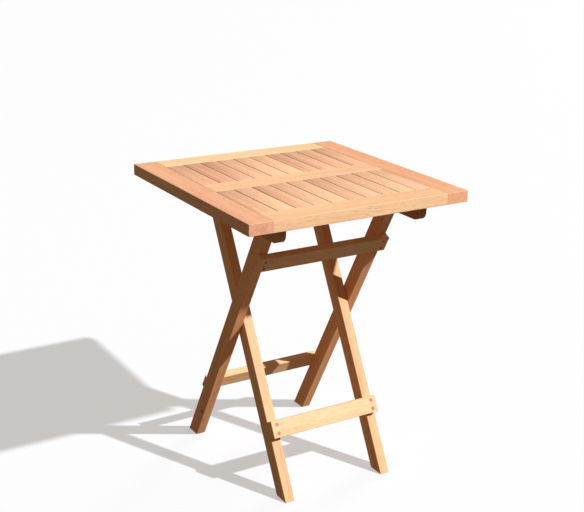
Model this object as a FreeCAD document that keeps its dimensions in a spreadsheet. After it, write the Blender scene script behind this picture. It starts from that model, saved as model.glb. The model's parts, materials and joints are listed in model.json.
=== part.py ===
import FreeCAD, Part
import os
import re
import Sketcher

# Folding picnic table in teak: a square slatted top on crossed legs.
# Frame: origin on the floor under the middle of the top, +X along the front edge to the right,
# +Y to the rear, +Z up.  The outer legs stand with their feet at the rear and carry the top on a
# pivot near its front; the inner legs stand with their feet at the front and catch the top with a
# round bar near its rear.  The two leg frames turn on pins where they cross.

Vector = FreeCAD.Vector
doc = FreeCAD.newDocument("FoldingPicnicTable")

# ---------------------------------------------------------------- driving sizes, in millimetres
SIZES = {
    # the top
    "top_width": 600,
    "top_depth": 600,
    "table_height": 750,
    "board_thickness": 28,
    "stile_width": 60,
    "end_rail_width": 64,
    "middle_rail_width": 65,
    "board_chamfer": 0.7,
    "tenon_length": 35,
    "tenon_thickness": 10,
    "tenon_shoulder": 8,
    # the slats, let into grooves in the rails
    "slat_count": 10,
    "slat_thickness": 18,
    "slat_gap": 1.2,
    "slat_end_gap": 0.5,
    "tongue_length": 8,
    "tongue_thickness": 6,
    "slat_chamfer": 0.6,
    # the battens under the top that carry the pivots
    "batten_thickness": 22,
    "batten_height": 43,
    "batten_setback": 36,
    "batten_corner_radius": 20,
    # the crossed legs
    "outer_frame_width": 366,
    "leg_thickness": 26,
    "leg_width": 39,
    "leg_chamfer": 1.0,
    "side_gap": 1.5,
    "pivot_drop": 24,
    "pivot_spread": 320,
    "foot_spread": 429,
    # the stretchers, each placed by its middle: along the leg from the foot, or down it from the pivot
    "stretcher_chamfer": 1.0,
    "upper_stretcher_height": 43,
    "upper_stretcher_thickness": 18,
    "upper_stretcher_below_pivot": 104,
    "front_stretcher_height": 43,
    "front_stretcher_thickness": 20,
    "front_stretcher_along": 170,
    "rear_stretcher_height": 40,
    "rear_stretcher_thickness": 20,
    "rear_stretcher_along": 174,
    "rear_stretcher_inset": 10,
    # the catch: a round bar in the inner legs and the rail that it pushes against
    "bar_radius": 11,
    "bar_socket": 15,
    "bar_clearance": 0.4,
    "catch_rail_drop": 34,
    "catch_rail_depth": 46,
    "catch_rail_end_gap": 3,
    # pivot bolts, pins and washers
    "bolt_radius": 4,
    "running_clearance": 0.05,
    "hex_radius": 7.5,
    "hex_height": 5.5,
    "hex_clearance": 0.8,
    "bolt_head_depth": 7,
    "pin_reach": 18,
    "pin_end_gap": 0.5,
    "washer_radius": 11,
    "washer_thickness": 1,
    # wood screws and the teak plugs that hide some of them
    "screw_radius": 2.25,
    "screw_head_radius": 4,
    "screw_head_height": 3,
    "screw_sink": 3,
    "screw_from_end": 15,
    "rear_screw_from_end": 8,
    "screw_row_gap": 22,
    "stretcher_screw_length": 46,
    "batten_screw_length": 52,
    "batten_screw_depth": 10,
    "batten_screw_edge": 12,
    "catch_screw_length": 55,
    "catch_screw_edge": 14,
    "plug_radius": 5,
    "plug_height": 5,
}

sheet = doc.addObject("Spreadsheet::Sheet", "Sizes")
for row, (alias, size) in enumerate(SIZES.items(), start=1):
    sheet.set(f"A{row}", alias)
    sheet.set(f"B{row}", str(size))
    sheet.setAlias(f"B{row}", alias)
doc.recompute()

# ---------------------------------------------------------------- sizes worked out from them
UNDERSIDE = "(table_height - board_thickness)"
PIVOT_HEIGHT = f"({UNDERSIDE} - pivot_drop)"
LEAN = f"atan((pivot_spread + foot_spread) / 2 / {PIVOT_HEIGHT})"
FOOT_TO_PIVOT = f"({PIVOT_HEIGHT} / cos({LEAN}))"
FOOT_TO_CROSSING = f"({FOOT_TO_PIVOT} * foot_spread / (pivot_spread + foot_spread))"
UPPER_STRETCHER_ALONG = f"({FOOT_TO_PIVOT} - upper_stretcher_below_pivot)"
FOOT_RISE = f"(leg_width / 2 * tan({LEAN}))"

BAY_FROM = "(middle_rail_width / 2)"
BAY_TO = "(top_depth / 2 - end_rail_width)"
SLAT_PITCH = "((top_width - 2 * stile_width) / slat_count)"
SLAT_BOTTOM = "(table_height - slat_thickness)"
TONGUE_BOTTOM = f"({SLAT_BOTTOM} + (slat_thickness - tongue_thickness) / 2)"
TENON_BOTTOM = f"({UNDERSIDE} + (board_thickness - tenon_thickness) / 2)"

OUTER_FACE = "(outer_frame_width / 2)"
OUTER_INSIDE = f"({OUTER_FACE} - leg_thickness)"
INNER_FACE = f"({OUTER_INSIDE} - side_gap)"
INNER_INSIDE = f"({INNER_FACE} - leg_thickness)"
BATTEN_INSIDE = f"({OUTER_FACE} + side_gap)"
BATTEN_OUTSIDE = f"({BATTEN_INSIDE} + batten_thickness)"

nodes = []


# ---------------------------------------------------------------- helpers
def formula(text):
    """Point every size named in a formula at its cell in the sheet."""
    return re.sub(r"[a-z][a-z_]+", lambda m: "Sizes." + m[0] if m[0] in SIZES else m[0], text)


def value(text):
    """The number that a formula gives with the sheet as it stands."""
    result = sheet.evalExpression(formula(text))
    return getattr(result, "Value", result)


def keep(piece, label):
    """Name a finished sub-part and put it on the list that is written out."""
    piece.Label = label
    nodes.append(piece)
    return piece


def new_body(name):
    return doc.addObject("PartDesign::Body", name)


def new_sketch(body, role, offset):
    """Start a sketch on one of the body's own planes, moved along that plane's normal."""
    sketch = body.newObject("Sketcher::SketchObject", body.Name + "_sketch")
    plane = next(f for f in body.Origin.OriginFeatures if f.Role == role)
    sketch.AttachmentSupport = [(plane, "")]
    sketch.MapMode = "FlatFace"
    sketch.setExpression("AttachmentOffset.Base.z", formula(offset))
    return sketch


def pin_down(sketch, geometry, point, kind, text):
    """Hold one point of a sketch at a distance from its origin."""
    index = sketch.addConstraint(Sketcher.Constraint(kind, -1, 1, geometry, point, value(text)))
    sketch.setExpression(f"Constraints[{index}]", formula(text))


def polygon(sketch, points):
    """Draw a closed outline through points, given as pairs of formulas."""
    corners = [Vector(value(u), value(v), 0) for u, v in points]
    count = len(points)
    for i in range(count):
        sketch.addGeometry(Part.LineSegment(corners[i], corners[(i + 1) % count]))
    for i in range(count):
        sketch.addConstraint(Sketcher.Constraint("Coincident", i, 2, (i + 1) % count, 1))
    for i, (u, v) in enumerate(points):
        pin_down(sketch, i, 1, "DistanceX", u)
        pin_down(sketch, i, 1, "DistanceY", v)


def box_outline(sketch, u, v):
    """Draw a rectangle from its two spans."""
    polygon(sketch, [(u[0], v[0]), (u[1], v[0]), (u[1], v[1]), (u[0], v[1])])


def circle(sketch, centre, radius):
    """Draw a circle; its centre is a pair of formulas."""
    middle = Vector(value(centre[0]), value(centre[1]), 0)
    sketch.addGeometry(Part.Circle(middle, Vector(0, 0, 1), value(radius)))
    pin_down(sketch, 0, 3, "DistanceX", centre[0])
    pin_down(sketch, 0, 3, "DistanceY", centre[1])
    index = sketch.addConstraint(Sketcher.Constraint("Radius", 0, value(radius)))
    sketch.setExpression(f"Constraints[{index}]", formula(radius))


def extrude(body, kind, sketch, length):
    """Pad a sketch along its normal, or pocket it against its normal."""
    feature = body.newObject("PartDesign::" + kind, body.Name + "_" + kind.lower())
    feature.Profile = sketch
    feature.setExpression("Length", formula(length))
    return feature


def ease(body, feature, size):
    """Take the sharpness off every edge of a feature."""
    chamfer = body.newObject("PartDesign::Chamfer", body.Name + "_chamfer")
    chamfer.Base = (feature, [])
    chamfer.UseAllEdges = True
    chamfer.setExpression("Size", formula(size))
    return chamfer


def board(name, x, y, z, chamfer):
    """A straight board: its three spans are pairs of formulas."""
    body = new_body(name)
    sketch = new_sketch(body, "YZ_Plane", x[0])
    box_outline(sketch, y, z)
    pad = extrude(body, "Pad", sketch, f"({x[1]}) - ({x[0]})")
    ease(body, pad, chamfer)
    return body


def turned(name, radius, height, cone_radius=None):
    """A cylinder, or a cone when a second radius is given, standing on the origin along +Z."""
    solid = doc.addObject("Part::Cone" if cone_radius else "Part::Cylinder", name)
    if cone_radius:
        solid.setExpression("Radius1", formula(radius))
        solid.setExpression("Radius2", formula(cone_radius))
    else:
        solid.setExpression("Radius", formula(radius))
    solid.setExpression("Height", formula(height))
    return solid


def place(piece, spot, turn=FreeCAD.Rotation()):
    """Put a piece at a point given by three formulas, turned."""
    piece.Placement = FreeCAD.Placement(Vector(), turn)
    for letter, text in zip("xyz", spot):
        piece.setExpression("Placement.Base." + letter, formula(text))
    return piece


def fuse(name, pieces):
    """Several touching solids made into one."""
    joined = doc.addObject("Part::MultiFuse", name)
    joined.Shapes = pieces
    return joined


def group(name, pieces):
    """Several separate solids that count as one sub-part."""
    compound = doc.addObject("Part::Compound", name)
    compound.Links = pieces
    return compound


def cut(blank, tools):
    """A piece with the room for its fasteners taken out of it."""
    blank.Label = blank.Name + " blank"
    result = doc.addObject("Part::Cut", blank.Name + "_cut")
    result.Base = blank
    result.Tool = group(blank.Name + "_tools", tools)
    return result


def bore(body, centre, radius, x):
    """Drill a round hole along X between two places."""
    sketch = new_sketch(body, "YZ_Plane", x[1])
    circle(sketch, centre, radius)
    return extrude(body, "Pocket", sketch, f"({x[1]}) - ({x[0]})")


def lean_like(piece, frame):
    """Stand a piece drawn along a leg, foot at the origin, in its place in one of the leg frames."""
    sign = LEAN_SIGN[frame]
    piece.Placement = FreeCAD.Placement(Vector(), FreeCAD.Rotation(Vector(sign, 0, 0), value(LEAN)))
    piece.setExpression("Placement.Rotation.Angle", formula(LEAN))
    piece.setExpression("Placement.Base.y", formula(f"{sign} * foot_spread / 2"))
    return piece


SIDES = (("left", -1), ("right", 1))
LEAN_SIGN = {"outer": 1, "inner": -1}
ALONG_X = FreeCAD.Rotation(Vector(0, 1, 0), 90)
ALONG_Y = FreeCAD.Rotation(Vector(1, 0, 0), -90)
AGAINST_Y = FreeCAD.Rotation(Vector(1, 0, 0), 90)
ALONG_Z = FreeCAD.Rotation()


def spans(side, inside, outside):
    """The X span of a piece on the left (-1) or right (1), from its inner and outer faces."""
    return (inside, outside) if side > 0 else (f"-{outside}", f"-{inside}")


# ---------------------------------------------------------------- the frame of the top
RAILS = {
    "front_rail": (f"(-top_depth / 2)", f"(-{BAY_TO})"),
    "middle_rail": (f"(-{BAY_FROM})", BAY_FROM),
    "rear_rail": (BAY_TO, "(top_depth / 2)"),
}
HALF_OPENING = "(top_width / 2 - stile_width)"
THICKNESS = (UNDERSIDE, "table_height")
TENON_Z = (TENON_BOTTOM, f"({TENON_BOTTOM} + tenon_thickness)")
TONGUE_Z = (TONGUE_BOTTOM, f"({TONGUE_BOTTOM} + tongue_thickness)")


def tenon_span(rail):
    """The Y span of a rail's tenon, set in from both of its edges."""
    return (f"({RAILS[rail][0]} + tenon_shoulder)", f"({RAILS[rail][1]} - tenon_shoulder)")


def stile(label, side):
    """A side board of the top, full length, mortised for the three rails."""
    x = spans(side, HALF_OPENING, "(top_width / 2)")
    body = board(label, x, ("-top_depth / 2", "top_depth / 2"), THICKNESS, "board_chamfer")
    mouth = f"-{HALF_OPENING}" if side < 0 else f"{HALF_OPENING} + tenon_length"
    for rail in RAILS:
        sketch = new_sketch(body, "YZ_Plane", mouth)
        box_outline(sketch, tenon_span(rail), TENON_Z)
        extrude(body, "Pocket", sketch, "tenon_length")
    return body


def rail(label):
    """A cross board of the top: a tenon at each end and a groove along each edge that meets slats."""
    y = RAILS[label]
    body = board(label, (f"-{HALF_OPENING}", HALF_OPENING), y, THICKNESS, "board_chamfer")
    reach = f"({HALF_OPENING} + tenon_length)"
    sketch = new_sketch(body, "YZ_Plane", f"-{reach}")
    box_outline(sketch, tenon_span(label), TENON_Z)
    extrude(body, "Pad", sketch, f"2 * {reach}")
    grooves = []
    if label != "front_rail":
        grooves.append((y[0], f"({y[0]} + tongue_length)"))
    if label != "rear_rail":
        grooves.append((f"({y[1]} - tongue_length)", y[1]))
    for groove in grooves:
        sketch = new_sketch(body, "YZ_Plane", HALF_OPENING)
        box_outline(sketch, groove, TONGUE_Z)
        extrude(body, "Pocket", sketch, f"2 * {HALF_OPENING}")
    return body


for side, sign in SIDES:
    keep(stile("stile_" + side, sign), "stile_" + side)
rails = {label: rail(label) for label in RAILS}

# ---------------------------------------------------------------- the slats
BAYS = {
    "front": (f"(-{BAY_TO})", f"(-{BAY_FROM})"),
    "rear": (BAY_FROM, BAY_TO),
}


def slat(label, bay, number):
    """One slat with a tongue on each end; it lies flush with the frame's upper face."""
    half_width = f"({SLAT_PITCH} / 2 - slat_gap / 2)"
    near, far = BAYS[bay]
    y = (f"({near} + slat_end_gap)", f"({far} - slat_end_gap)")
    body = board(label, (f"-{half_width}", half_width), y, (SLAT_BOTTOM, "table_height"), "slat_chamfer")
    sketch = new_sketch(body, "XY_Plane", TONGUE_BOTTOM)
    reach = (f"({near} - tongue_length + slat_end_gap)", f"({far} + tongue_length - slat_end_gap)")
    box_outline(sketch, (f"-{half_width} + slat_chamfer", f"{half_width} - slat_chamfer"), reach)
    extrude(body, "Pad", sketch, "tongue_thickness")
    return place(body, (f"({number} + 0.5 - slat_count / 2) * {SLAT_PITCH}", "0", "0"))


slats = {}
for bay in BAYS:
    for number in range(SIZES["slat_count"]):
        slats[bay, number] = slat(f"{bay}_slat_{number + 1:02d}", bay, number)


# ---------------------------------------------------------------- screws, plugs and washers
def screw(name, length):
    """A countersunk wood screw: its head lies on the origin and it points along +Z."""
    head = turned(name + "_head", "screw_head_radius", "screw_head_height", "screw_radius")
    shank = turned(name + "_shank", "screw_radius", length)
    return fuse(name, [head, shank])


def screws(label, spots, length, turn):
    """Equal screws at several points, all pointing the same way."""
    return group(label, [place(screw(f"{label}_{i}", length), spot, turn) for i, spot in enumerate(spots)])


def plugs(label, spots, radius, height, turn):
    """Round teak plugs, or the open holes above sunk screw heads, at several points."""
    return group(label, [place(turned(f"{label}_{i}", radius, height), spot, turn)
                         for i, spot in enumerate(spots)])


def hexagon(name, height):
    """A bolt head or nut blank."""
    prism = doc.addObject("Part::Prism", name)
    prism.Polygon = 6
    prism.setExpression("Circumradius", formula("hex_radius"))
    prism.setExpression("Height", formula(height))
    return prism


def ring(name, blank, hole_radius, height):
    """A blank with a hole through its middle."""
    result = doc.addObject("Part::Cut", name)
    result.Base = blank
    result.Tool = turned(name + "_hole", hole_radius, height)
    return result


# ---------------------------------------------------------------- battens under the top
BATTEN_BOTTOM = f"({UNDERSIDE} - batten_height)"
PIVOT = ("-pivot_spread / 2", PIVOT_HEIGHT)


def batten(label, side):
    """A batten along Y under the top, its lower corners rounded, drilled for the pivot bolt."""
    x = spans(side, BATTEN_INSIDE, BATTEN_OUTSIDE)
    half = "(top_depth / 2 - batten_setback)"
    body = new_body(label)
    sketch = new_sketch(body, "YZ_Plane", x[0])
    box_outline(sketch, (f"-{half}", half), (BATTEN_BOTTOM, UNDERSIDE))
    pad = extrude(body, "Pad", sketch, "batten_thickness")
    doc.recompute()
    low = value(BATTEN_BOTTOM)
    corners = [f"Edge{i + 1}" for i, edge in enumerate(pad.Shape.Edges)
               if abs(edge.Vertexes[0].X - edge.Vertexes[1].X) > 1 and abs(edge.CenterOfMass.z - low) < 0.01]
    fillet = body.newObject("PartDesign::Fillet", label + "_fillet")
    fillet.Base = (pad, corners)
    fillet.setExpression("Radius", formula("batten_corner_radius"))
    ease(body, fillet, "board_chamfer")
    bore(body, PIVOT, "bolt_radius", x)
    recess = spans(side, f"({BATTEN_OUTSIDE} - bolt_head_depth)", BATTEN_OUTSIDE)
    bore(body, PIVOT, "hex_radius + hex_clearance", recess)
    return body


BATTEN_MIDDLE = f"({BATTEN_INSIDE} + batten_thickness / 2)"
BATTEN_SCREW_ROWS = (f"-({BAY_TO} + batten_screw_edge)", "0", f"{BAY_TO} + batten_screw_edge")
batten_spots = [(f"{sign} * {BATTEN_MIDDLE}", y) for _, sign in SIDES for y in BATTEN_SCREW_ROWS]
BATTEN_SCREW_FROM = f"{BATTEN_BOTTOM} + batten_screw_depth"
batten_screws = screws("batten_screws", [(x, y, BATTEN_SCREW_FROM) for x, y in batten_spots],
                       "batten_screw_length", ALONG_Z)
batten_sinks = plugs("batten_sinks", [(x, y, BATTEN_BOTTOM) for x, y in batten_spots],
                     "plug_radius", "batten_screw_depth", ALONG_Z)
for side, sign in SIDES:
    keep(cut(batten("batten_blank_" + side, sign), [batten_screws, batten_sinks]), "batten_" + side)
for label in RAILS:
    keep(cut(rails[label], [batten_screws]), label)
keep(batten_screws, "batten_screws")

# ---------------------------------------------------------------- the catch for the round bar
BAR_Y = "(pivot_spread / 2)"
SEAT = "(bar_radius + bar_clearance)"
CATCH_HALF = f"({INNER_INSIDE} - catch_rail_end_gap)"
CATCH_BOTTOM = f"({UNDERSIDE} - catch_rail_drop)"


def catch_rail():
    """A rail under the rear slats with a rounded step along its front, where the bar comes to rest."""
    x = (f"-{CATCH_HALF}", CATCH_HALF)
    body = board("catch_rail_blank", x, (BAR_Y, f"({BAR_Y} + catch_rail_depth)"), (CATCH_BOTTOM, SLAT_BOTTOM),
                 "board_chamfer")
    bore(body, (BAR_Y, PIVOT_HEIGHT), SEAT, x)
    sketch = new_sketch(body, "YZ_Plane", x[1])
    box_outline(sketch, (BAR_Y, f"({BAR_Y} + {SEAT})"), (CATCH_BOTTOM, PIVOT_HEIGHT))
    extrude(body, "Pocket", sketch, f"2 * {CATCH_HALF}")
    return body


MIDDLE_SLAT = SIZES["slat_count"] // 2
CATCH_SLATS = range(MIDDLE_SLAT - 2, MIDDLE_SLAT + 2)
catch_spots = [(f"({number} + 0.5 - slat_count / 2) * {SLAT_PITCH}",
                f"{BAR_Y} + catch_rail_depth - catch_screw_edge", CATCH_BOTTOM) for number in CATCH_SLATS]
catch_screws = screws("catch_screws", catch_spots, "catch_screw_length", ALONG_Z)
for (bay, number), piece in slats.items():
    screwed = bay == "rear" and number in CATCH_SLATS
    keep(cut(piece, [catch_screws]) if screwed else piece, f"{bay}_slat_{number + 1:02d}")
keep(cut(catch_rail(), [catch_screws]), "catch_rail")
keep(catch_screws, "catch_screws")

# ---------------------------------------------------------------- pivot bolts between battens and legs
NUT_INSIDE = f"({OUTER_INSIDE} + hex_clearance / 2)"
HEAD_INSIDE = f"({BATTEN_OUTSIDE} - bolt_head_depth)"


def across(piece, sign, inside, outside, centre):
    """Lay a turned piece along X, between its inner and outer faces on one side of the table."""
    return place(piece, (spans(sign, inside, outside)[0], *centre), ALONG_X)


def pivot_bolt(side, sign):
    """A hexagon-head bolt, its head outward and sunk in the batten, its tip flush with the nut."""
    shank = turned("bolt_shank_" + side, "bolt_radius", f"{HEAD_INSIDE} - {NUT_INSIDE}")
    head = hexagon("bolt_head_" + side, "hex_height")
    across(shank, sign, NUT_INSIDE, HEAD_INSIDE, PIVOT)
    across(head, sign, HEAD_INSIDE, f"({HEAD_INSIDE} + hex_height)", PIVOT)
    return fuse("bolt_" + side, [head, shank])


def pivot_nut(side, sign):
    """The nut, sunk in the inner face of the outer leg with room to turn past it."""
    nut = ring("nut_" + side, hexagon("nut_blank_" + side, "hex_height"), "bolt_radius", "hex_height")
    return across(nut, sign, NUT_INSIDE, f"({NUT_INSIDE} + hex_height)", PIVOT)


def washer(name, sign, inside, outside, centre):
    """A washer that keeps two turning pieces of wood apart."""
    blank = turned(name + "_blank", "washer_radius", "washer_thickness")
    result = ring(name, blank, "bolt_radius + running_clearance", "washer_thickness")
    return across(result, sign, inside, outside, centre)


keep(group("pivot_bolts", [pivot_bolt(side, sign) for side, sign in SIDES]), "pivot_bolts")
keep(group("pivot_nuts", [pivot_nut(side, sign) for side, sign in SIDES]), "pivot_nuts")
keep(group("pivot_washers", [washer("pivot_washer_" + side, sign, f"({BATTEN_INSIDE} - washer_thickness)",
                                    BATTEN_INSIDE, PIVOT) for side, sign in SIDES]), "pivot_washers")

# ---------------------------------------------------------------- the crossed legs
# Each leg is drawn upright, its foot at the origin, and then leaned over with its frame.
TOP_END = ("0", FOOT_TO_PIVOT)
CROSSING = ("0", FOOT_TO_CROSSING)


def leg(name, frame, side, inside, outside):
    """A leg with its foot cut level with the floor and its top rounded about the pivot."""
    x = spans(side, inside, outside)
    half = "leg_width / 2"
    sign = LEAN_SIGN[frame]
    body = new_body(name)
    sketch = new_sketch(body, "YZ_Plane", x[0])
    polygon(sketch, [(f"-{half}", f"{sign} * {FOOT_RISE}"), (half, f"-{sign} * {FOOT_RISE}"),
                     (half, FOOT_TO_PIVOT), (f"-{half}", FOOT_TO_PIVOT)])
    extrude(body, "Pad", sketch, "leg_thickness")
    sketch = new_sketch(body, "YZ_Plane", x[0])
    circle(sketch, TOP_END, half)
    pad = extrude(body, "Pad", sketch, "leg_thickness")
    ease(body, pad, "leg_chamfer")
    return lean_like(body, frame)


def outer_leg(name, side):
    """An outer leg turns on the pivot bolt and holds the crossing pin fast."""
    body = leg(name, "outer", side, OUTER_INSIDE, OUTER_FACE)
    bore(body, TOP_END, "bolt_radius + running_clearance", spans(side, OUTER_INSIDE, OUTER_FACE))
    recess = spans(side, OUTER_INSIDE, f"({OUTER_INSIDE} + hex_height + hex_clearance)")
    bore(body, TOP_END, "hex_radius + hex_clearance", recess)
    bore(body, CROSSING, "bolt_radius", spans(side, OUTER_INSIDE, f"({OUTER_INSIDE} + pin_reach)"))
    return body


def inner_leg(name, side):
    """An inner leg turns on the crossing pin and holds the end of the round bar."""
    body = leg(name, "inner", side, INNER_INSIDE, INNER_FACE)
    pin_end = f"({INNER_FACE} - pin_reach - pin_end_gap)"
    bore(body, CROSSING, "bolt_radius + running_clearance", spans(side, pin_end, INNER_FACE))
    bore(body, TOP_END, "bar_radius", spans(side, INNER_INSIDE, f"({INNER_INSIDE} + bar_socket)"))
    return body


def stretcher(name, frame, half_length, y, along, height):
    """A cross board on the legs' front or back faces, reaching half_length to each side."""
    z = (f"({along} - {height} / 2)", f"({along} + {height} / 2)")
    return lean_like(board(name, (f"-{half_length}", half_length), y, z, "stretcher_chamfer"), frame)


def end_spots(half_length, y, along, from_end="screw_from_end"):
    """Where the two screws in each end of a stretcher go."""
    return [(f"{sign} * ({half_length} - {from_end})", y, f"{along} + {step} * screw_row_gap / 2")
            for _, sign in SIDES for step in (-1, 1)]


def pin(side, sign):
    """A steel pin that both legs of a crossing turn on, hidden in blind holes."""
    steel = turned("crossing_pin_" + side, "bolt_radius", "2 * pin_reach + side_gap")
    return across(steel, sign, f"({INNER_FACE} - pin_reach)", f"({OUTER_INSIDE} + pin_reach)", CROSSING)


# The outer frame: two legs, a stretcher in front near the top and one behind near the feet, whose ends
# stop short of the legs' outer faces.
UPPER_FACE = "(-leg_width / 2 - upper_stretcher_thickness)"
REAR_FACE = "(leg_width / 2 + rear_stretcher_thickness)"
REAR_END = f"({OUTER_FACE} - rear_stretcher_inset)"
upper_screws = screws("upper_screws", end_spots(OUTER_FACE, f"{UPPER_FACE} + screw_sink",
                                                UPPER_STRETCHER_ALONG), "stretcher_screw_length", ALONG_Y)
upper_sinks = plugs("upper_sinks", end_spots(OUTER_FACE, UPPER_FACE, UPPER_STRETCHER_ALONG),
                    "screw_head_radius", "screw_sink", ALONG_Y)
rear_screws = screws("rear_screws", end_spots(REAR_END, f"{REAR_FACE} - plug_height", "rear_stretcher_along",
                                              "rear_screw_from_end"), "stretcher_screw_length", AGAINST_Y)
rear_plugs = plugs("rear_plugs", end_spots(REAR_END, REAR_FACE, "rear_stretcher_along",
                                           "rear_screw_from_end"), "plug_radius", "plug_height", AGAINST_Y)
crossing_pins = group("crossing_pins", [pin(side, sign) for side, sign in SIDES])
crossing_washers = group("crossing_washers", [washer("crossing_washer_" + side, sign,
                                                     f"({OUTER_INSIDE} - washer_thickness)", OUTER_INSIDE,
                                                     CROSSING) for side, sign in SIDES])
lean_like(upper_sinks, "outer")
for hardware in (upper_screws, rear_screws, rear_plugs, crossing_pins, crossing_washers):
    keep(lean_like(hardware, "outer"), hardware.Label)

upper_stretcher = stretcher("upper_stretcher_blank", "outer", OUTER_FACE, (UPPER_FACE, "(-leg_width / 2)"),
                            UPPER_STRETCHER_ALONG, "upper_stretcher_height")
rear_stretcher = stretcher("rear_stretcher_blank", "outer", REAR_END, ("(leg_width / 2)", REAR_FACE),
                           "rear_stretcher_along", "rear_stretcher_height")
keep(cut(upper_stretcher, [upper_screws, upper_sinks]), "upper_stretcher")
keep(cut(rear_stretcher, [rear_screws, rear_plugs]), "rear_stretcher")
for side, sign in SIDES:
    keep(cut(outer_leg("outer_leg_blank_" + side, sign), [upper_screws, rear_screws]), "outer_leg_" + side)

# The inner frame: two legs, a stretcher in front near the feet and the round bar at the top.
FRONT_FACE = "(-leg_width / 2 - front_stretcher_thickness)"
BAR_HALF = f"({INNER_INSIDE} + bar_socket)"
front_screws = screws("front_screws", end_spots(INNER_FACE, f"{FRONT_FACE} + plug_height",
                                                "front_stretcher_along"), "stretcher_screw_length", ALONG_Y)
front_plugs = plugs("front_plugs", end_spots(INNER_FACE, FRONT_FACE, "front_stretcher_along"),
                    "plug_radius", "plug_height", ALONG_Y)
turned_bar = place(turned("turned_bar", "bar_radius", f"2 * {BAR_HALF}"), (f"-{BAR_HALF}", *TOP_END), ALONG_X)
catch_bar = group("catch_bar", [turned_bar])
for piece in (front_screws, front_plugs, catch_bar):
    keep(lean_like(piece, "inner"), piece.Label)

front_stretcher = stretcher("front_stretcher_blank", "inner", INNER_FACE, (FRONT_FACE, "(-leg_width / 2)"),
                            "front_stretcher_along", "front_stretcher_height")
keep(cut(front_stretcher, [front_screws, front_plugs]), "front_stretcher")
for side, sign in SIDES:
    keep(cut(inner_leg("inner_leg_blank_" + side, sign), [front_screws]), "inner_leg_" + side)

# ---------------------------------------------------------------- check everything and write it out
doc.recompute()
for item in doc.Objects:
    if {"Invalid", "Error"} & set(item.State):
        raise RuntimeError(f"{item.Label} failed: {item.State}")
for piece in nodes:
    if piece.Shape.isNull() or not piece.Shape.isValid():
        raise RuntimeError(f"{piece.Label} has no valid shape")

os.makedirs("parts", exist_ok=True)
for piece in nodes:
    piece.Shape.exportStep(f"parts/{piece.Label}.step")
print(f"wrote {len(nodes)} sub-parts")
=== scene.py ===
import json
import math
import random
import bpy
from mathutils import Euler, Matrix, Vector


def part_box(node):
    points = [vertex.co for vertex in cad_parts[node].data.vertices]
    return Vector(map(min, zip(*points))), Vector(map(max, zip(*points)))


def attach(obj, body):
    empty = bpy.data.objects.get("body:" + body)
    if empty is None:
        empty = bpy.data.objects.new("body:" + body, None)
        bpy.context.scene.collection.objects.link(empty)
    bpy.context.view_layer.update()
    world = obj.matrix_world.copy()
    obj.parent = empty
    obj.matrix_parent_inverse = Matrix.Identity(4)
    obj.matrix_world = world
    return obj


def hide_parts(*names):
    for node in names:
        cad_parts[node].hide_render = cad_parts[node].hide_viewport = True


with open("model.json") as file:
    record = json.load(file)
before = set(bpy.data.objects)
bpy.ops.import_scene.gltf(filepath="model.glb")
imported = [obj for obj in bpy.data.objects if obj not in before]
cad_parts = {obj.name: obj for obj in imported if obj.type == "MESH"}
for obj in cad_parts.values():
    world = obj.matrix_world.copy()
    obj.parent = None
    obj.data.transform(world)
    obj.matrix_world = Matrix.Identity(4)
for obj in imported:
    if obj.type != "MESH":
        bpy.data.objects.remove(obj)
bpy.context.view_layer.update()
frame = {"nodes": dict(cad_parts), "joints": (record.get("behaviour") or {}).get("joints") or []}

# ---------------------------------------------------------------- the frame of the top
# Five planed teak boards: two full-length stiles at the sides and three rails between them, held by
# glued mortise and tenon joints.  Every board was cut from another place in a log, so its rings,
# its tone and its streaks are its own, and its ends show the rings as arcs.


def linear(red, green, blue):
    """A paint-chart colour, 0 to 255, as the shader wants it."""
    return tuple(((c / 255 + 0.055) / 1.055) ** 2.4 for c in (red, green, blue)) + (1.0,)


def new_group(name, inputs, outputs):
    """An empty shader group with its sockets; inputs are (name, type, value)."""
    group = bpy.data.node_groups.new(name, "ShaderNodeTree")
    for label, kind, value in inputs:
        socket = group.interface.new_socket(label, in_out="INPUT", socket_type="NodeSocket" + kind)
        if value is not None:
            socket.default_value = value
    for label, kind in outputs:
        group.interface.new_socket(label, in_out="OUTPUT", socket_type="NodeSocket" + kind)
    return group


def add(tree, kind, links=(), **settings):
    """Add a node, set its fields, and feed its inputs from (socket, output or value) pairs."""
    node = tree.nodes.new(kind)
    for field, value in settings.items():
        setattr(node, field, value)
    for socket, source in links:
        if isinstance(source, bpy.types.NodeSocket):
            tree.links.new(source, node.inputs[socket])
        else:
            node.inputs[socket].default_value = source
    return node


def maths(tree, operation, first, second=0.0, clamp=False):
    node = add(tree, "ShaderNodeMath", [(0, first), (1, second)], operation=operation, use_clamp=clamp)
    return node.outputs[0]


def vector_maths(tree, operation, first, second):
    node = add(tree, "ShaderNodeVectorMath", [(0, first), (1, second)], operation=operation)
    return node.outputs["Vector"]


def noise(tree, vector, scale, detail):
    return add(tree, "ShaderNodeTexNoise", [("Vector", vector), ("Scale", scale), ("Detail", detail),
                                            ("Roughness", 0.5)])


def remap(tree, value, low, high, to_low=0.0, to_high=1.0):
    node = add(tree, "ShaderNodeMapRange", [("Value", value), ("From Min", low), ("From Max", high),
                                            ("To Min", to_low), ("To Max", to_high)],
               interpolation_type="SMOOTHSTEP")
    return node.outputs[0]


def blend_colour(tree, factor, first, second):
    """Mix two colours.  The node has one set of sockets for each kind of value; colours are 6, 7 and 2."""
    node = add(tree, "ShaderNodeMix", [(0, factor), (6, first), (7, second)], data_type="RGBA")
    return node.outputs[2]


PORE_BROWN = (0.16, 0.065, 0.025, 1.0)


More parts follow.
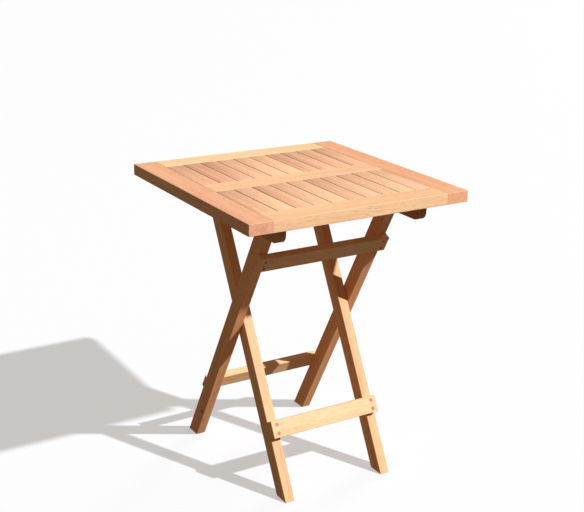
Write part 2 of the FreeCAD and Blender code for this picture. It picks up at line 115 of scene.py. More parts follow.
def teak_grain_group():
    """Teak as a block cut from a log: the log runs along Z with its heart on the origin."""
    group = new_group("Teak Grain", [("Vector", "Vector", None), ("Tone", "Float", 0.0),
                                     ("Pale Wood", "Color", None), ("Dark Wood", "Color", None),
                                     ("Ring Spacing", "Float", 0.007), ("Waviness", "Float", 0.012)],
                      [("Color", "Color"), ("Roughness", "Float"), ("Height", "Float")])
    source = group.nodes.new("NodeGroupInput").outputs
    drawn_out = vector_maths(group, "MULTIPLY", source["Vector"], (1.0, 1.0, 0.18))
    drift = noise(group, drawn_out, 11.0, 3.0).outputs["Color"]
    drift = vector_maths(group, "SUBTRACT", drift, (0.5, 0.5, 0.5))
    waves = add(group, "ShaderNodeVectorMath", [(0, drift), ("Scale", source["Waviness"])],
                operation="SCALE")
    grown = vector_maths(group, "ADD", source["Vector"], waves.outputs["Vector"])
    flat = vector_maths(group, "MULTIPLY", grown, (1.0, 1.0, 0.0))
    radius = add(group, "ShaderNodeVectorMath", [(0, flat)], operation="LENGTH").outputs["Value"]
    years = maths(group, "DIVIDE", radius, source["Ring Spacing"])
    weather = noise(group, flat, 60.0, 1.0).outputs["Fac"]
    years = maths(group, "ADD", years, maths(group, "MULTIPLY", weather, 1.6))
    season = maths(group, "FRACT", years)
    late_wood = maths(group, "POWER", season, 2.2)
    each_year = add(group, "ShaderNodeTexWhiteNoise", [("W", maths(group, "FLOOR", years))],
                    noise_dimensions="1D").outputs["Value"]
    late_wood = maths(group, "MULTIPLY", late_wood, remap(group, each_year, 0.0, 1.0, 0.35, 1.0))

    fibres = vector_maths(group, "MULTIPLY", grown, (420.0, 420.0, 9.0))
    fibre = noise(group, fibres, 1.0, 2.0).outputs["Fac"]
    vessels = vector_maths(group, "MULTIPLY", grown, (1100.0, 1100.0, 55.0))
    vessel = remap(group, noise(group, vessels, 1.0, 0.0).outputs["Fac"], 0.60, 0.74)
    early = maths(group, "SUBTRACT", 1.0, maths(group, "MULTIPLY", season, 0.75))
    vessel = maths(group, "MULTIPLY", vessel, early)
    streaks = vector_maths(group, "MULTIPLY", grown, (75.0, 75.0, 1.6))
    streak = noise(group, streaks, 1.0, 2.0).outputs["Fac"]
    clouds = vector_maths(group, "MULTIPLY", source["Vector"], (9.0, 9.0, 2.4))
    cloud = noise(group, clouds, 1.0, 2.0).outputs["Fac"]

    darkness = maths(group, "MULTIPLY", late_wood, 0.34)
    darkness = maths(group, "ADD", darkness, remap(group, streak, 0.30, 0.72, -0.07, 0.17))
    darkness = maths(group, "ADD", darkness, remap(group, cloud, 0.25, 0.75, -0.12, 0.14))
    darkness = maths(group, "ADD", darkness, remap(group, fibre, 0.30, 0.70, -0.08, 0.12))
    darkness = maths(group, "ADD", darkness, source["Tone"], clamp=True)
    wood = blend_colour(group, darkness, source["Pale Wood"], source["Dark Wood"])
    pore_shade = maths(group, "MULTIPLY", vessel, 0.45)
    wood = blend_colour(group, pore_shade, wood, PORE_BROWN)
    rough = remap(group, fibre, 0.3, 0.7, 0.44, 0.58)
    rough = maths(group, "ADD", rough, maths(group, "MULTIPLY", vessel, 0.2))
    height = maths(group, "SUBTRACT", maths(group, "MULTIPLY", fibre, 0.35), vessel)
    height = maths(group, "ADD", height, maths(group, "MULTIPLY", late_wood, 0.4))
    group_output = group.nodes.new("NodeGroupOutput")
    for socket, value in (("Color", wood), ("Roughness", rough), ("Height", height)):
        group.links.new(value, group_output.inputs[socket])
    return group


def edge_highlight_group():
    """A mask of a board's eased edges, where the wood is painted paler as a painted highlight."""
    group = new_group("Painted Edge Highlight", [("Width", "Float", 0.0015)], [("Mask", "Float")])
    source = group.nodes.new("NodeGroupInput").outputs
    rounded = add(group, "ShaderNodeBevel", [("Radius", source["Width"])], samples=4).outputs["Normal"]
    true_normal = add(group, "ShaderNodeNewGeometry").outputs["Normal"]
    facing = add(group, "ShaderNodeVectorMath", [(0, rounded), (1, true_normal)], operation="DOT_PRODUCT")
    mask = remap(group, facing.outputs["Value"], 0.995, 0.85)
    group.links.new(mask, group.nodes.new("NodeGroupOutput").inputs["Mask"])
    return group


TEAK_GRAIN = teak_grain_group()
PAINTED_EDGE_HIGHLIGHT = edge_highlight_group()
ALONG_X = (0.0, -math.pi / 2, 0.0)
ALONG_Y = (math.pi / 2, 0.0, 0.0)
# The colour of the painted highlight along the boards' eased edges.
EDGE_HIGHLIGHT_PALE = linear(255, 214, 168)
# The colour of the painted shade on the slats' side faces, in the gaps between them.
GAP_SHADE_BROWN = linear(74, 38, 22)
KNOT_BROWN = linear(92, 46, 26)
BUMP_DEPTH = 0.00012


def teak(name, grain, heart, pale, dark, tone=0.0, ring_spacing=0.007, waviness=0.012, board_marks=False,
         knot=None):
    """Oiled teak.  grain turns the board's length to Z; heart is where the log's heart then lies."""
    material = bpy.data.materials.new(name)
    material.use_nodes = True
    tree = material.node_tree
    shader = tree.nodes["Principled BSDF"]
    place = add(tree, "ShaderNodeTexCoord").outputs["Object"]
    place = add(tree, "ShaderNodeMapping", [("Vector", place), ("Rotation", grain), ("Location", heart)])
    place = place.outputs["Vector"]
    if board_marks:
        shift = add(tree, "ShaderNodeAttribute", attribute_name="board_shift").outputs["Vector"]
        place = vector_maths(tree, "ADD", place, shift)
    wood = add(tree, "ShaderNodeGroup", node_tree=TEAK_GRAIN)
    tree.links.new(place, wood.inputs["Vector"])
    wood.inputs["Pale Wood"].default_value = linear(*pale)
    wood.inputs["Dark Wood"].default_value = linear(*dark)
    wood.inputs["Ring Spacing"].default_value = ring_spacing
    wood.inputs["Waviness"].default_value = waviness
    wood.inputs["Tone"].default_value = tone
    if board_marks:
        own_tone = add(tree, "ShaderNodeAttribute", attribute_name="board_tone").outputs["Fac"]
        tree.links.new(own_tone, wood.inputs["Tone"])
    facing = add(tree, "ShaderNodeTexCoord").outputs["Normal"]
    along = add(tree, "ShaderNodeMapping", [("Vector", facing), ("Rotation", grain)], vector_type="VECTOR")
    along = add(tree, "ShaderNodeSeparateXYZ", [("Vector", along.outputs["Vector"])]).outputs["Z"]
    end_grain = remap(tree, maths(tree, "ABSOLUTE", along), 0.6, 0.95, 0.0, 0.10)
    wood_colour = blend_colour(tree, end_grain, wood.outputs["Color"], linear(*dark))
    if knot:
        spot = add(tree, "ShaderNodeTexCoord").outputs["Object"]
        away = add(tree, "ShaderNodeVectorMath", [(0, spot), (1, knot)], operation="DISTANCE")
        uneven = noise(tree, place, 260.0, 2.0).outputs["Fac"]
        away = maths(tree, "ADD", away.outputs["Value"], maths(tree, "MULTIPLY", uneven, 0.005))
        core = remap(tree, away, 0.0095, 0.0060, 0.0, 0.85)
        wood_colour = blend_colour(tree, core, wood_colour, KNOT_BROWN)
    # Painted highlight: the eased edges are blended towards a paler colour.
    edges = add(tree, "ShaderNodeGroup", node_tree=PAINTED_EDGE_HIGHLIGHT).outputs["Mask"]
    edges = maths(tree, "MULTIPLY", edges, 0.35)
    colour = blend_colour(tree, edges, wood_colour, EDGE_HIGHLIGHT_PALE)
    if board_marks:
        # Painted shade: the slats' side faces, in the narrow gaps between slats, are painted dark brown.
        sideways = add(tree, "ShaderNodeSeparateXYZ", [("Vector", facing)]).outputs["X"]
        groove = remap(tree, maths(tree, "ABSOLUTE", sideways), 0.35, 0.85, 0.0, 0.92)
        colour = blend_colour(tree, groove, colour, GAP_SHADE_BROWN)
    bump = add(tree, "ShaderNodeBump", [("Height", wood.outputs["Height"]), ("Distance", BUMP_DEPTH),
                                        ("Strength", 0.7)])
    tree.links.new(colour, shader.inputs["Base Color"])
    tree.links.new(wood.outputs["Roughness"], shader.inputs["Roughness"])
    tree.links.new(bump.outputs["Normal"], shader.inputs["Normal"])
    shader.inputs["Specular IOR Level"].default_value = 0.35
    return material


def cut_board(node, grain, heart, **looks):
    """Give a board its own wood; heart is where the board's middle lay, seen from the log's heart."""
    low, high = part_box(node)
    middle = Euler(grain).to_matrix() @ ((low + high) / 2)
    mesh = frame["nodes"][node].data
    mesh.materials.clear()
    mesh.materials.append(teak("teak_" + node, grain, Vector(heart) - middle, **looks))


cut_board("stile_left", ALONG_Y, (0.062, 0.075, 0.4), pale=(255, 196, 158), dark=(200, 130, 98), tone=0.05)
cut_board("stile_right", ALONG_Y, (-0.105, -0.040, 1.3), pale=(255, 193, 150), dark=(208, 136, 96))
cut_board("front_rail", ALONG_X, (0.045, 0.090, 2.7), pale=(255, 209, 164), dark=(222, 150, 108), tone=-0.04,
          ring_spacing=0.009)
cut_board("middle_rail", ALONG_X, (0.095, -0.035, 3.1), pale=(255, 208, 166), dark=(220, 152, 114))
cut_board("rear_rail", ALONG_X, (-0.060, 0.110, 4.5), pale=(255, 222, 174), dark=(224, 164, 120), tone=-0.04,
          ring_spacing=0.008)

# ---------------------------------------------------------------- the slats
# Two rows of ten narrow teak slats, one row each side of the middle rail.  Each slat is planed with
# rounded long edges and has a tongue at each end that sits dry in the rails' grooves, so it can swell.


def new_tree(name, inputs):
    """An empty geometry tree with its named inputs, each (name, type, value)."""
    tree = bpy.data.node_groups.new(name, "GeometryNodeTree")
    tree.interface.new_socket("Geometry", in_out="INPUT", socket_type="NodeSocketGeometry")
    for label, kind, value in inputs:
        socket = tree.interface.new_socket(label, in_out="INPUT", socket_type="NodeSocket" + kind)
        if value is not None:
            socket.default_value = value
    tree.interface.new_socket("Geometry", in_out="OUTPUT", socket_type="NodeSocketGeometry")
    return tree, tree.nodes.new("NodeGroupInput").outputs


def join(tree, *parts):
    node = tree.nodes.new("GeometryNodeJoinGeometry")
    for part in parts:
        tree.links.new(part, node.inputs["Geometry"])
    return node.outputs["Geometry"]


def end_tree(tree, geometry, material):
    """Close a tree: real mesh, no instances, in its material."""
    real = add(tree, "GeometryNodeRealizeInstances", [("Geometry", geometry)]).outputs["Geometry"]
    done = add(tree, "GeometryNodeSetMaterial", [("Geometry", real), ("Material", material)])
    tree.links.new(done.outputs["Geometry"], tree.nodes.new("NodeGroupOutput").inputs["Geometry"])


def marks(points, **fields):
    """A mesh of loose points carrying named values, one per point, for a tree to build on."""
    mesh = bpy.data.meshes.new("marks")
    mesh.from_pydata([tuple(p) for p in points], [], [])
    for field, values in fields.items():
        vectors = isinstance(values[0], Vector)
        attribute = mesh.attributes.new(field, "FLOAT_VECTOR" if vectors else "FLOAT", "POINT")
        for item, value in zip(attribute.data, values):
            if vectors:
                item.vector = value
            else:
                item.value = value
    return mesh


def build(name, mesh, tree, body, replaced, slot, soft_edge=0.0, **inputs):
    """Run a tree on a mesh of marks and keep the result as one plain mesh that rides on a body."""
    maker = bpy.data.objects.new(name + "_maker", mesh)
    bpy.context.scene.collection.objects.link(maker)
    modifier = maker.modifiers.new("tree", "NODES")
    modifier.node_group = tree
    sockets = {item.name: item.identifier for item in tree.interface.items_tree if item.in_out == "INPUT"}
    for label, value in inputs.items():
        modifier[sockets[label.replace("_", " ")]] = value
    if soft_edge:
        bevel = maker.modifiers.new("soft_edge", "BEVEL")
        bevel.width = soft_edge
        bevel.segments = 2
        bevel.limit_method = "ANGLE"
        bevel.angle_limit = math.radians(50)
    depsgraph = bpy.context.evaluated_depsgraph_get()
    plain = bpy.data.meshes.new_from_object(maker.evaluated_get(depsgraph))
    bpy.data.objects.remove(maker)
    plain.shade_smooth()
    plain.set_sharp_from_angle(angle=math.radians(32))
    piece = bpy.data.objects.new(name, plain)
    bpy.context.scene.collection.objects.link(piece)
    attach(piece, body)
    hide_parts(*replaced)


def length_along(tree, **lengths):
    """A vector made of the lengths given for X, Y and Z."""
    return add(tree, "ShaderNodeCombineXYZ", list(lengths.items())).outputs["Vector"]


def random_number(tree, highest, seed):
    """A number from 0 to highest for each mark.  Socket 3 is the number's limit and output 1 the number."""
    node = add(tree, "FunctionNodeRandomValue", [(3, highest), ("Seed", seed)])
    return node.outputs[1]


TONGUE_SHARE = 0.97


def slat_row_tree():
    """A row of slats, one on every mark."""
    tree, source = new_tree("Slat Row", [("Width", "Float", 0.047), ("Length", "Float", 0.2),
                                         ("Thickness", "Float", 0.018), ("Edge Radius", "Float", 0.001),
                                         ("Tongue Length", "Float", 0.0075),
                                         ("Tongue Thickness", "Float", 0.006),
                                         ("Settle", "Float", 0.0003), ("Seed", "Int", 1),
                                         ("Wood", "Material", None)])
    section = add(tree, "GeometryNodeCurvePrimitiveQuadrilateral",
                  [("Width", source["Width"]), ("Height", source["Thickness"])])
    section = add(tree, "GeometryNodeFilletCurve", [("Curve", section.outputs["Curve"]), ("Count", 3),
                                                    ("Radius", source["Edge Radius"])], mode="POLY")
    start = length_along(tree, Y=maths(tree, "MULTIPLY", source["Length"], -0.5))
    end = length_along(tree, Y=maths(tree, "MULTIPLY", source["Length"], 0.5))
    run = add(tree, "GeometryNodeCurvePrimitiveLine", [("Start", start), ("End", end)], mode="POINTS")
    slat = add(tree, "GeometryNodeCurveToMesh", [("Curve", run.outputs["Curve"]),
                                                 ("Profile Curve", section.outputs["Curve"]),
                                                 ("Fill Caps", True)]).outputs["Mesh"]
    narrow = maths(tree, "MULTIPLY", source["Width"], TONGUE_SHARE)
    both = maths(tree, "ADD", source["Length"], maths(tree, "MULTIPLY", source["Tongue Length"], 2.0))
    size = length_along(tree, X=narrow, Y=both, Z=source["Tongue Thickness"])
    tongue = add(tree, "GeometryNodeMeshCube", [("Size", size)]).outputs["Mesh"]
    settle = random_number(tree, source["Settle"], source["Seed"])
    drop = length_along(tree, Z=maths(tree, "MULTIPLY", settle, -1.0))
    spots = add(tree, "GeometryNodeSetPosition", [("Geometry", source["Geometry"]), ("Offset", drop)])
    row = add(tree, "GeometryNodeInstanceOnPoints", [("Points", spots.outputs["Geometry"]),
                                                     ("Instance", join(tree, slat, tongue))])
    end_tree(tree, row.outputs["Instances"], source["Wood"])
    return tree


SLAT_ROW = slat_row_tree()
SLAT_END_GAP = 0.0005
SLAT_EDGE_RADIUS = 0.0011
SLAT_SOFT_EDGE = 0.0004
SLAT_WOOD = teak("teak_slats", ALONG_Y, (0.0, 0.0, 0.0), pale=(255, 204, 164), dark=(193, 120, 100),
                 ring_spacing=0.008, board_marks=True)
# How much darker, or if below nought paler, each slat is than the rest of its wood, from the left.
ROW_TONES = {
    "front": (0.13, -0.18, 0.00, -0.06, -0.14, 0.10, -0.10, 0.04, -0.20, -0.20),
    "rear": (0.18, 0.16, 0.05, 0.10, -0.22, -0.32, 0.14, 0.08, 0.04, 0.10),
}
ROW_ENDS = {
    "front": (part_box("front_rail")[1].y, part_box("middle_rail")[0].y),
    "rear": (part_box("middle_rail")[1].y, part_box("rear_rail")[0].y),
}


def heart_shift(luck, centre):
    """Moves one slat to its own place in a log: the heart well below it and to one side."""
    aside, below, along = luck.uniform(-0.09, 0.09), luck.uniform(0.05, 0.16), luck.uniform(0.0, 3.0)
    return Vector((aside - centre.x, below + centre.z, along))


for row, tones in ROW_TONES.items():
    luck = random.Random(row)
    slat_nodes = [f"{row}_slat_{number:02d}" for number in range(1, len(tones) + 1)]
    boxes = [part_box(node) for node in slat_nodes]
    start, end = ROW_ENDS[row]
    low, high = boxes[0]
    centres = [Vector(((a.x + b.x) / 2, (start + end) / 2, (a.z + b.z) / 2)) for a, b in boxes]
    shifts = [heart_shift(luck, centre) for centre in centres]
    build(row + "_slats", marks(centres, board_tone=tones, board_shift=shifts), SLAT_ROW, "table_top",
          slat_nodes, "teak_slats", soft_edge=SLAT_SOFT_EDGE, Width=high.x - low.x,
          Length=end - start - 2 * SLAT_END_GAP, Thickness=high.z - low.z, Edge_Radius=SLAT_EDGE_RADIUS,
          Seed=luck.randrange(1000), Wood=SLAT_WOOD)

# ---------------------------------------------------------------- battens and catch rail
# Two teak battens screwed up into the three rails carry the pivots; their lower corners are rounded
# with a router.  The catch rail is screwed up into the middle slats and has a rounded step for the bar.
# The battens' wood is painted darker than the other boards as painted shade from the top above them.
cut_board("batten_left", ALONG_Y, (0.05, 0.06, 1.2), pale=(206, 142, 102), dark=(150, 90, 58))
cut_board("batten_right", ALONG_Y, (-0.06, 0.05, 1.7), pale=(200, 136, 96), dark=(146, 86, 54))
cut_board("catch_rail", ALONG_X, (0.06, -0.05, 2.1), pale=(240, 178, 128), dark=(180, 112, 72), tone=0.05)

# ---------------------------------------------------------------- wood screws
# Countersunk stainless screws with a cross recess, driven home with a power driver, so that no two
# recesses line up.  Those in the upper stretcher are sunk a little and left open, and are dusty.
STEEL_DULL = linear(176, 170, 160)
STEEL_DARK = linear(92, 80, 68)


def steel(name, base, grime, roughness):
    """Stainless steel: satin, with fine scratches and some brown dust in patches."""
    material = bpy.data.materials.new(name)
    material.use_nodes = True
    tree = material.node_tree
    shader = tree.nodes["Principled BSDF"]
    place = add(tree, "ShaderNodeTexCoord").outputs["Object"]
    drawn = vector_maths(tree, "MULTIPLY", place, (900.0, 2600.0, 900.0))
    scratch = noise(tree, drawn, 1.0, 2.0).outputs["Fac"]
    dust = remap(tree, noise(tree, place, 260.0, 3.0).outputs["Fac"], 0.42, 0.66)
    tree.links.new(blend_colour(tree, dust, base, grime), shader.inputs["Base Color"])
    rough = remap(tree, scratch, 0.3, 0.7, roughness - 0.08, roughness + 0.1)
    tree.links.new(maths(tree, "ADD", rough, maths(tree, "MULTIPLY", dust, 0.2)), shader.inputs["Roughness"])
    bare = maths(tree, "SUBTRACT", 1.0, maths(tree, "MULTIPLY", dust, 0.5))
    tree.links.new(bare, shader.inputs["Metallic"])
    bump = add(tree, "ShaderNodeBump", [("Height", scratch), ("Distance", 0.00003), ("Strength", 0.5)])
    tree.links.new(bump.outputs["Normal"], shader.inputs["Normal"])
    return material


def move(tree, geometry, distance):
    """Move a mesh along its own Z."""
    moved = add(tree, "GeometryNodeTransform", [("Geometry", geometry),
                                               ("Translation", length_along(tree, Z=distance))])
    return moved.outputs["Geometry"]


def drive_in(tree, source, fastener):
    """A fastener on every mark, its Z along the mark's aim, stopped at a random turn."""
    aim = add(tree, "GeometryNodeInputNamedAttribute", [("Name", "aim")], data_type="FLOAT_VECTOR")
    facing = add(tree, "FunctionNodeAlignRotationToVector", [("Vector", aim.outputs["Attribute"])], axis="Z")
    turn = random_number(tree, 2 * math.pi, source["Seed"])
    turned = add(tree, "FunctionNodeRotateRotation", [("Rotation", facing.outputs["Rotation"]),
                                                      ("Rotate By", length_along(tree, Z=turn))],
                 rotation_space="LOCAL")
    driven = add(tree, "GeometryNodeInstanceOnPoints", [("Points", source["Geometry"]),
                                                       ("Instance", fastener),
                                                       ("Rotation", turned.outputs["Rotation"])])
    return driven.outputs["Instances"]


def screw_tree():
    """A countersunk screw on every mark."""
    tree, source = new_tree("Wood Screws", [("Head Radius", "Float", 0.004), ("Head Height", "Float", 0.003),
                                            ("Shank Radius", "Float", 0.00225), ("Length", "Float", 0.046),
                                            ("Recess Width", "Float", 0.0009),
                                            ("Recess Reach", "Float", 0.0022),
                                            ("Recess Depth", "Float", 0.0016), ("Seed", "Int", 1),
                                            ("Metal", "Material", None)])
    head = add(tree, "GeometryNodeMeshCone", [("Vertices", 28), ("Radius Top", source["Shank Radius"]),
                                              ("Radius Bottom", source["Head Radius"]),
                                              ("Depth", source["Head Height"])]).outputs["Mesh"]
    across = maths(tree, "MULTIPLY", source["Recess Reach"], 2.0)
    deep = maths(tree, "MULTIPLY", source["Recess Depth"], 2.0)
    first_slot = length_along(tree, X=across, Y=source["Recess Width"], Z=deep)
    second_slot = length_along(tree, X=source["Recess Width"], Y=across, Z=deep)
    recess = add(tree, "GeometryNodeMeshBoolean", operation="DIFFERENCE", solver="EXACT")
    tree.links.new(head, recess.inputs["Mesh 1"])
    for slot in (first_slot, second_slot):
        cutter = add(tree, "GeometryNodeMeshCube", [("Size", slot)]).outputs["Mesh"]
        tree.links.new(cutter, recess.inputs["Mesh 2"])
    run = maths(tree, "SUBTRACT", source["Length"], source["Head Height"])
    shank = add(tree, "GeometryNodeMeshCylinder", [("Vertices", 20), ("Radius", source["Shank Radius"]),
                                                   ("Depth", run)]).outputs["Mesh"]
    middle = maths(tree, "ADD", maths(tree, "MULTIPLY", run, 0.5), source["Head Height"])
    screw = join(tree, recess.outputs["Mesh"], move(tree, shank, middle))
    end_tree(tree, drive_in(tree, source, screw), source["Metal"])
    return tree


WOOD_SCREWS = screw_tree()
SCREW_HEAD_RADIUS = 0.004
SCREW_STEEL = steel("screw_steel", STEEL_DULL, STEEL_DARK, 0.36)
UP = Vector((0.0, 0.0, 1.0))


def middle_of(node):
    low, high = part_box(node)
    return (low + high) / 2


def screws_up(name, node, columns, rows):
    """Screws driven straight up from the lowest face of their CAD node's box."""
    low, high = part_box(node)
    spots = [Vector((x, y, low.z)) for x in columns for y in rows]
    build(name, marks(spots, aim=[UP] * len(spots)), WOOD_SCREWS, "table_top", [node], "stainless_steel",
          Length=high.z - low.z, Seed=len(name), Metal=SCREW_STEEL)


batten_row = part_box("batten_screws")[1].y - SCREW_HEAD_RADIUS
screws_up("batten_screws_driven", "batten_screws", (middle_of("batten_left").x, middle_of("batten_right").x),
          (-batten_row, 0.0, batten_row))
MIDDLE_SLATS = [f"rear_slat_{number:02d}" for number in (4, 5, 6, 7)]
screws_up("catch_screws_driven", "catch_screws", [middle_of(slat).x for slat in MIDDLE_SLATS],
          [middle_of("catch_screws").y])

# ---------------------------------------------------------------- pivot bolts, nuts and washers
# A stainless bolt with a sunk hexagon head passes through each batten and outer leg; its nut sits in a
# recess in the leg, and a thin washer keeps the leg off the batten.  The lower pins are hidden in the legs.
BOLT_STEEL = steel("bolt_steel", linear(188, 184, 176), linear(104, 92, 80), 0.30)
for node in ("pivot_bolts", "pivot_nuts", "pivot_washers", "crossing_pins", "crossing_washers"):
    frame["nodes"][node].data.materials.clear()
    frame["nodes"][node].data.materials.append(BOLT_STEEL)

# ---------------------------------------------------------------- the outer legs
# Two straight teak legs with rounded tops and feet cut level, their feet at the rear.  A stretcher is
# screwed across their front faces near the top and another across their back faces near the feet.
pivot = Vector(next(joint for joint in frame["joints"] if joint["name"] == "top_tilt")["pos_m"])
crossing = Vector(next(joint for joint in frame["joints"] if joint["name"] == "leg_fold")["pos_m"])
lean = math.atan2(crossing.y - pivot.y, pivot.z - crossing.z)
UP_OUTER_LEG = (-lean, 0.0, 0.0)
UP_INNER_LEG = (lean, 0.0, 0.0)
ORANGE_BROWN = {"pale": (255, 187, 135), "dark": (210, 132, 88)}
KNOT_ON_LEFT_LEG = (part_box("outer_leg_left")[0].x, 0.158, 0.084)
cut_board("outer_leg_left", UP_OUTER_LEG, (0.085, -0.03, 0.5), tone=0.04, knot=KNOT_ON_LEFT_LEG,
          **ORANGE_BROWN)
cut_board("outer_leg_right", UP_OUTER_LEG, (-0.05, -0.09, 1.6), **ORANGE_BROWN)
cut_board("upper_stretcher", ALONG_X, (0.05, 0.08, 2.2), pale=(255, 204, 160), dark=(228, 154, 114))
cut_board("rear_stretcher", ALONG_X, (0.09, -0.04, 3.8), pale=(255, 208, 160), dark=(222, 154, 108))


def across_face(node, lean_sign, face_sign):
    """A leaning stretcher's middle, outward normal, direction up the leg, and thickness."""
    low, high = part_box(node)
    up_leg = Vector((0.0, -lean_sign * math.sin(lean), math.cos(lean)))
    normal = Vector((0.0, face_sign * math.cos(lean), face_sign * lean_sign * math.sin(lean)))
    depth, rise = high.y - low.y, high.z - low.z
    sine, cosine = math.sin(lean), math.cos(lean)
    thickness = (depth * cosine - rise * sine) / (cosine ** 2 - sine ** 2)
    return (low + high) / 2, normal, up_leg, thickness


SCREW_FROM_END = 0.015
REAR_SCREW_FROM_END = 0.008
SCREW_ROW_GAP = 0.022


def stretcher_marks(node, lean_sign, face_sign, sink, from_end=SCREW_FROM_END):
    """Where a stretcher's four screws or plugs start, below its face by sink, and the way they point."""
    middle, normal, up_leg, thickness = across_face(node, lean_sign, face_sign)
    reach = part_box(node)[1].x - from_end
    face = middle + normal * (thickness / 2 - sink)
    spots = [face + Vector((side * reach, 0.0, 0.0)) + up_leg * step * SCREW_ROW_GAP / 2
             for side in (-1, 1) for step in (-1, 1)]
    return marks(spots, aim=[-normal] * len(spots))


UPPER_SCREW_SINK = 0.003
PLUG_HEIGHT = 0.005
STRETCHER_SCREW_LENGTH = 0.046
build("upper_screws_driven", stretcher_marks("upper_stretcher", 1, -1, UPPER_SCREW_SINK), WOOD_SCREWS,
      "outer_legs", ["upper_screws"], "stainless_steel", Length=STRETCHER_SCREW_LENGTH, Seed=11,
      Metal=SCREW_STEEL)
build("rear_screws_driven", stretcher_marks("rear_stretcher", 1, 1, PLUG_HEIGHT, REAR_SCREW_FROM_END),
      WOOD_SCREWS, "outer_legs", ["rear_screws"], "stainless_steel", Length=STRETCHER_SCREW_LENGTH, Seed=12,
      Metal=SCREW_STEEL)

# ---------------------------------------------------------------- plugs over the lower screws
# Short teak dowels glued over the sunk screws and sanded almost flush, so each shows its end grain as a
# slightly darker, browner disc.


def plug_tree():
    """A slightly domed round plug on every mark, its outer face on the mark."""
    tree, source = new_tree("Plugs", [("Radius", "Float", 0.005), ("Height", "Float", 0.005),
                                      ("Dome", "Float", 0.00015), ("Seed", "Int", 1),
                                      ("Wood", "Material", None)])
    plug = add(tree, "GeometryNodeMeshCylinder", [("Vertices", 32), ("Side Segments", 2),
                                                  ("Fill Segments", 4), ("Radius", source["Radius"]),
                                                  ("Depth", source["Height"])])
    place = add(tree, "GeometryNodeInputPosition").outputs["Position"]
    place = add(tree, "ShaderNodeSeparateXYZ", [("Vector", place)])
    square = maths(tree, "ADD", maths(tree, "POWER", place.outputs["X"], 2.0),
                   maths(tree, "POWER", place.outputs["Y"], 2.0))
    share = maths(tree, "DIVIDE", square, maths(tree, "POWER", source["Radius"], 2.0))
    bulge = maths(tree, "MULTIPLY", maths(tree, "SUBTRACT", share, 1.0), source["Dome"])
    outer = maths(tree, "LESS_THAN", place.outputs["Z"], 0.0)
    domed = add(tree, "GeometryNodeSetPosition", [("Geometry", plug.outputs["Mesh"]), ("Selection", outer),
                                                  ("Offset", length_along(tree, Z=bulge))])
    sunk = move(tree, domed.outputs["Geometry"], maths(tree, "MULTIPLY", source["Height"], 0.5))
    end_tree(tree, drive_in(tree, source, sunk), source["Wood"])
    return tree


PLUGS = plug_tree()
PLUG_WOOD = {"pale": (208, 140, 98), "dark": (160, 94, 62), "ring_spacing": 0.0018, "waviness": 0.004}
build("rear_plugs_glued", stretcher_marks("rear_stretcher", 1, 1, 0.0, REAR_SCREW_FROM_END), PLUGS,
      "outer_legs", ["rear_plugs"], "teak_plugs", Height=PLUG_HEIGHT, Seed=21,
      Wood=teak("teak_rear_plugs", (math.pi / 2 - lean, 0.0, 0.0), (0.02, 0.03, 0.0), **PLUG_WOOD))

# ---------------------------------------------------------------- the inner legs
# Two more legs, just inside the outer ones, their feet at the front.  A stretcher is screwed and plugged
# across their front faces near the feet, and a round bar is glued into sockets near their tops.
PALE_ORANGE = {"pale": (250, 192, 142), "dark": (204, 134, 88)}
cut_board("inner_leg_left", UP_INNER_LEG, (0.06, 0.09, 4.1), tone=-0.06, **PALE_ORANGE)
cut_board("inner_leg_right", UP_INNER_LEG, (-0.08, 0.05, 5.9), **PALE_ORANGE)
cut_board("front_stretcher", ALONG_X, (0.05, 0.08, 6.3), pale=(255, 206, 158), dark=(218, 150, 102),
          tone=-0.02, ring_spacing=0.009, waviness=0.006)
cut_board("catch_bar", ALONG_X, (0.07, 0.05, 7.6), pale=(240, 178, 128), dark=(184, 116, 74), tone=0.05,
          ring_spacing=0.005)
build("front_screws_driven", stretcher_marks("front_stretcher", -1, -1, PLUG_HEIGHT), WOOD_SCREWS,
      "inner_legs", ["front_screws"], "stainless_steel", Length=STRETCHER_SCREW_LENGTH, Seed=13,
      Metal=SCREW_STEEL)
build("front_plugs_glued", stretcher_marks("front_stretcher", -1, -1, 0.0), PLUGS, "inner_legs",
      ["front_plugs"], "teak_plugs", Height=PLUG_HEIGHT, Seed=22,
      Wood=teak("teak_front_plugs", (math.pi / 2 + lean, 0.0, 0.0), (0.03, 0.02, 0.4), **PLUG_WOOD))

# ---------------------------------------------------------------- floor, light and camera
# A pale floor and wall, a small key lamp from the front right with crisp shadows, a weak wide one from
# the right and behind, and a dim warm fill all round.  The floor glows a little and throws no light back
# on the wood, so the shaded faces stay deep.
FLOOR_HALF = 40.0
FLOOR_PAINT = (0.46, 0.48, 0.51, 1.0)
FLOOR_GLOW = 0.47
WHITE = (1.0, 1.0, 1.0, 1.0)
floor_corners = [(x * FLOOR_HALF, y * FLOOR_HALF, 0.0) for x, y in ((-1, -1), (1, -1), (1, 1), (-1, 1))]
floor_mesh = bpy.data.meshes.new("floor")
floor_mesh.from_pydata(floor_corners, [], [(0, 1, 2, 3)])
floor = bpy.data.objects.new("floor", floor_mesh)
bpy.context.scene.collection.objects.link(floor)
floor.visible_diffuse = False
floor.visible_glossy = False
pale_floor = bpy.data.materials.new("pale_floor")
pale_floor.use_nodes = True
floor_shader = pale_floor.node_tree.nodes["Principled BSDF"]
floor_shader.inputs["Base Color"].default_value = FLOOR_PAINT
floor_shader.inputs["Emission Color"].default_value = WHITE
floor_shader.inputs["Emission Strength"].default_value = FLOOR_GLOW
floor_shader.inputs["Roughness"].default_value = 0.9
floor_shader.inputs["Specular IOR Level"].default_value = 0.1
floor_mesh.materials.append(pale_floor)


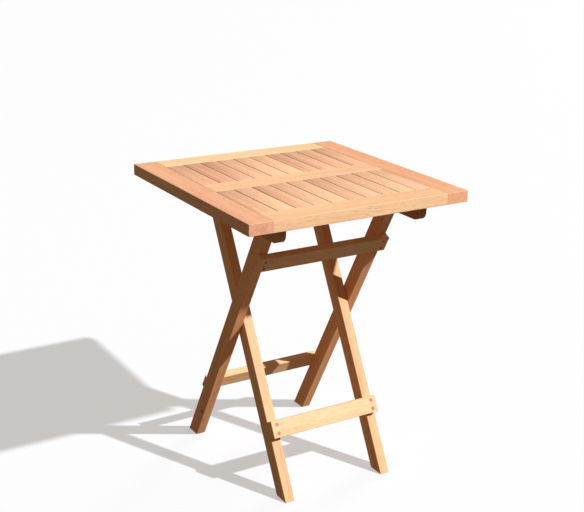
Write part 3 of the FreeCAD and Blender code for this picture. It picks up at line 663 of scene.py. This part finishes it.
def sun(name, comes_from, strength, spread, colour):
    """A distant lamp; spread is how many degrees of sky it fills."""
    lamp = bpy.data.objects.new(name, bpy.data.lights.new(name, "SUN"))
    lamp.data.energy = strength
    lamp.data.angle = math.radians(spread)
    lamp.data.color = colour
    lamp.rotation_euler = Vector(comes_from).to_track_quat("Z", "Y").to_euler()
    bpy.context.scene.collection.objects.link(lamp)


sun("key", comes_from=(0.72, -1.0, 1.10), strength=4.15, spread=1.4, colour=(1.0, 1.0, 1.0))
sun("back_fill", comes_from=(1.0, 0.5, 0.4), strength=0.7, spread=20.0, colour=(1.0, 0.90, 0.78))

FILL_WARM = (1.0, 0.79, 0.54, 1.0)
FILL_STRENGTH = 0.165
WALL_GREY = (0.92, 0.92, 0.92, 1.0)
world = bpy.data.worlds.new("studio")
world.use_nodes = True
fill = world.node_tree.nodes["Background"]
fill.inputs["Color"].default_value = FILL_WARM
fill.inputs["Strength"].default_value = FILL_STRENGTH
wall = add(world.node_tree, "ShaderNodeBackground", [("Color", WALL_GREY), ("Strength", 1.0)])
seen = add(world.node_tree, "ShaderNodeLightPath").outputs["Is Camera Ray"]
both = add(world.node_tree, "ShaderNodeMixShader", [(0, seen), (1, fill.outputs[0]), (2, wall.outputs[0])])
world.node_tree.links.new(both.outputs[0], world.node_tree.nodes["World Output"].inputs["Surface"])
bpy.context.scene.world = world
bpy.context.scene.view_settings.view_transform = "Standard"

CAMERA_AT = Vector((-1.41138, -2.27377, 1.44198))
CAMERA_YAW = math.radians(31.73)
CAMERA_PITCH = math.radians(-18.56)
CAMERA_ROLL = math.radians(1.11)
SENSOR_MM = 36.0
LENS_MM = 68.81
camera = bpy.data.objects.new("camera", bpy.data.cameras.new("camera"))
camera.data.sensor_width = SENSOR_MM
camera.data.lens = LENS_MM
camera.location = CAMERA_AT
level = Euler((math.pi / 2 + CAMERA_PITCH, 0.0, -CAMERA_YAW)).to_matrix()
camera.rotation_euler = (level @ Euler((0.0, 0.0, CAMERA_ROLL)).to_matrix()).to_euler()
bpy.context.scene.collection.objects.link(camera)
bpy.context.scene.camera = camera
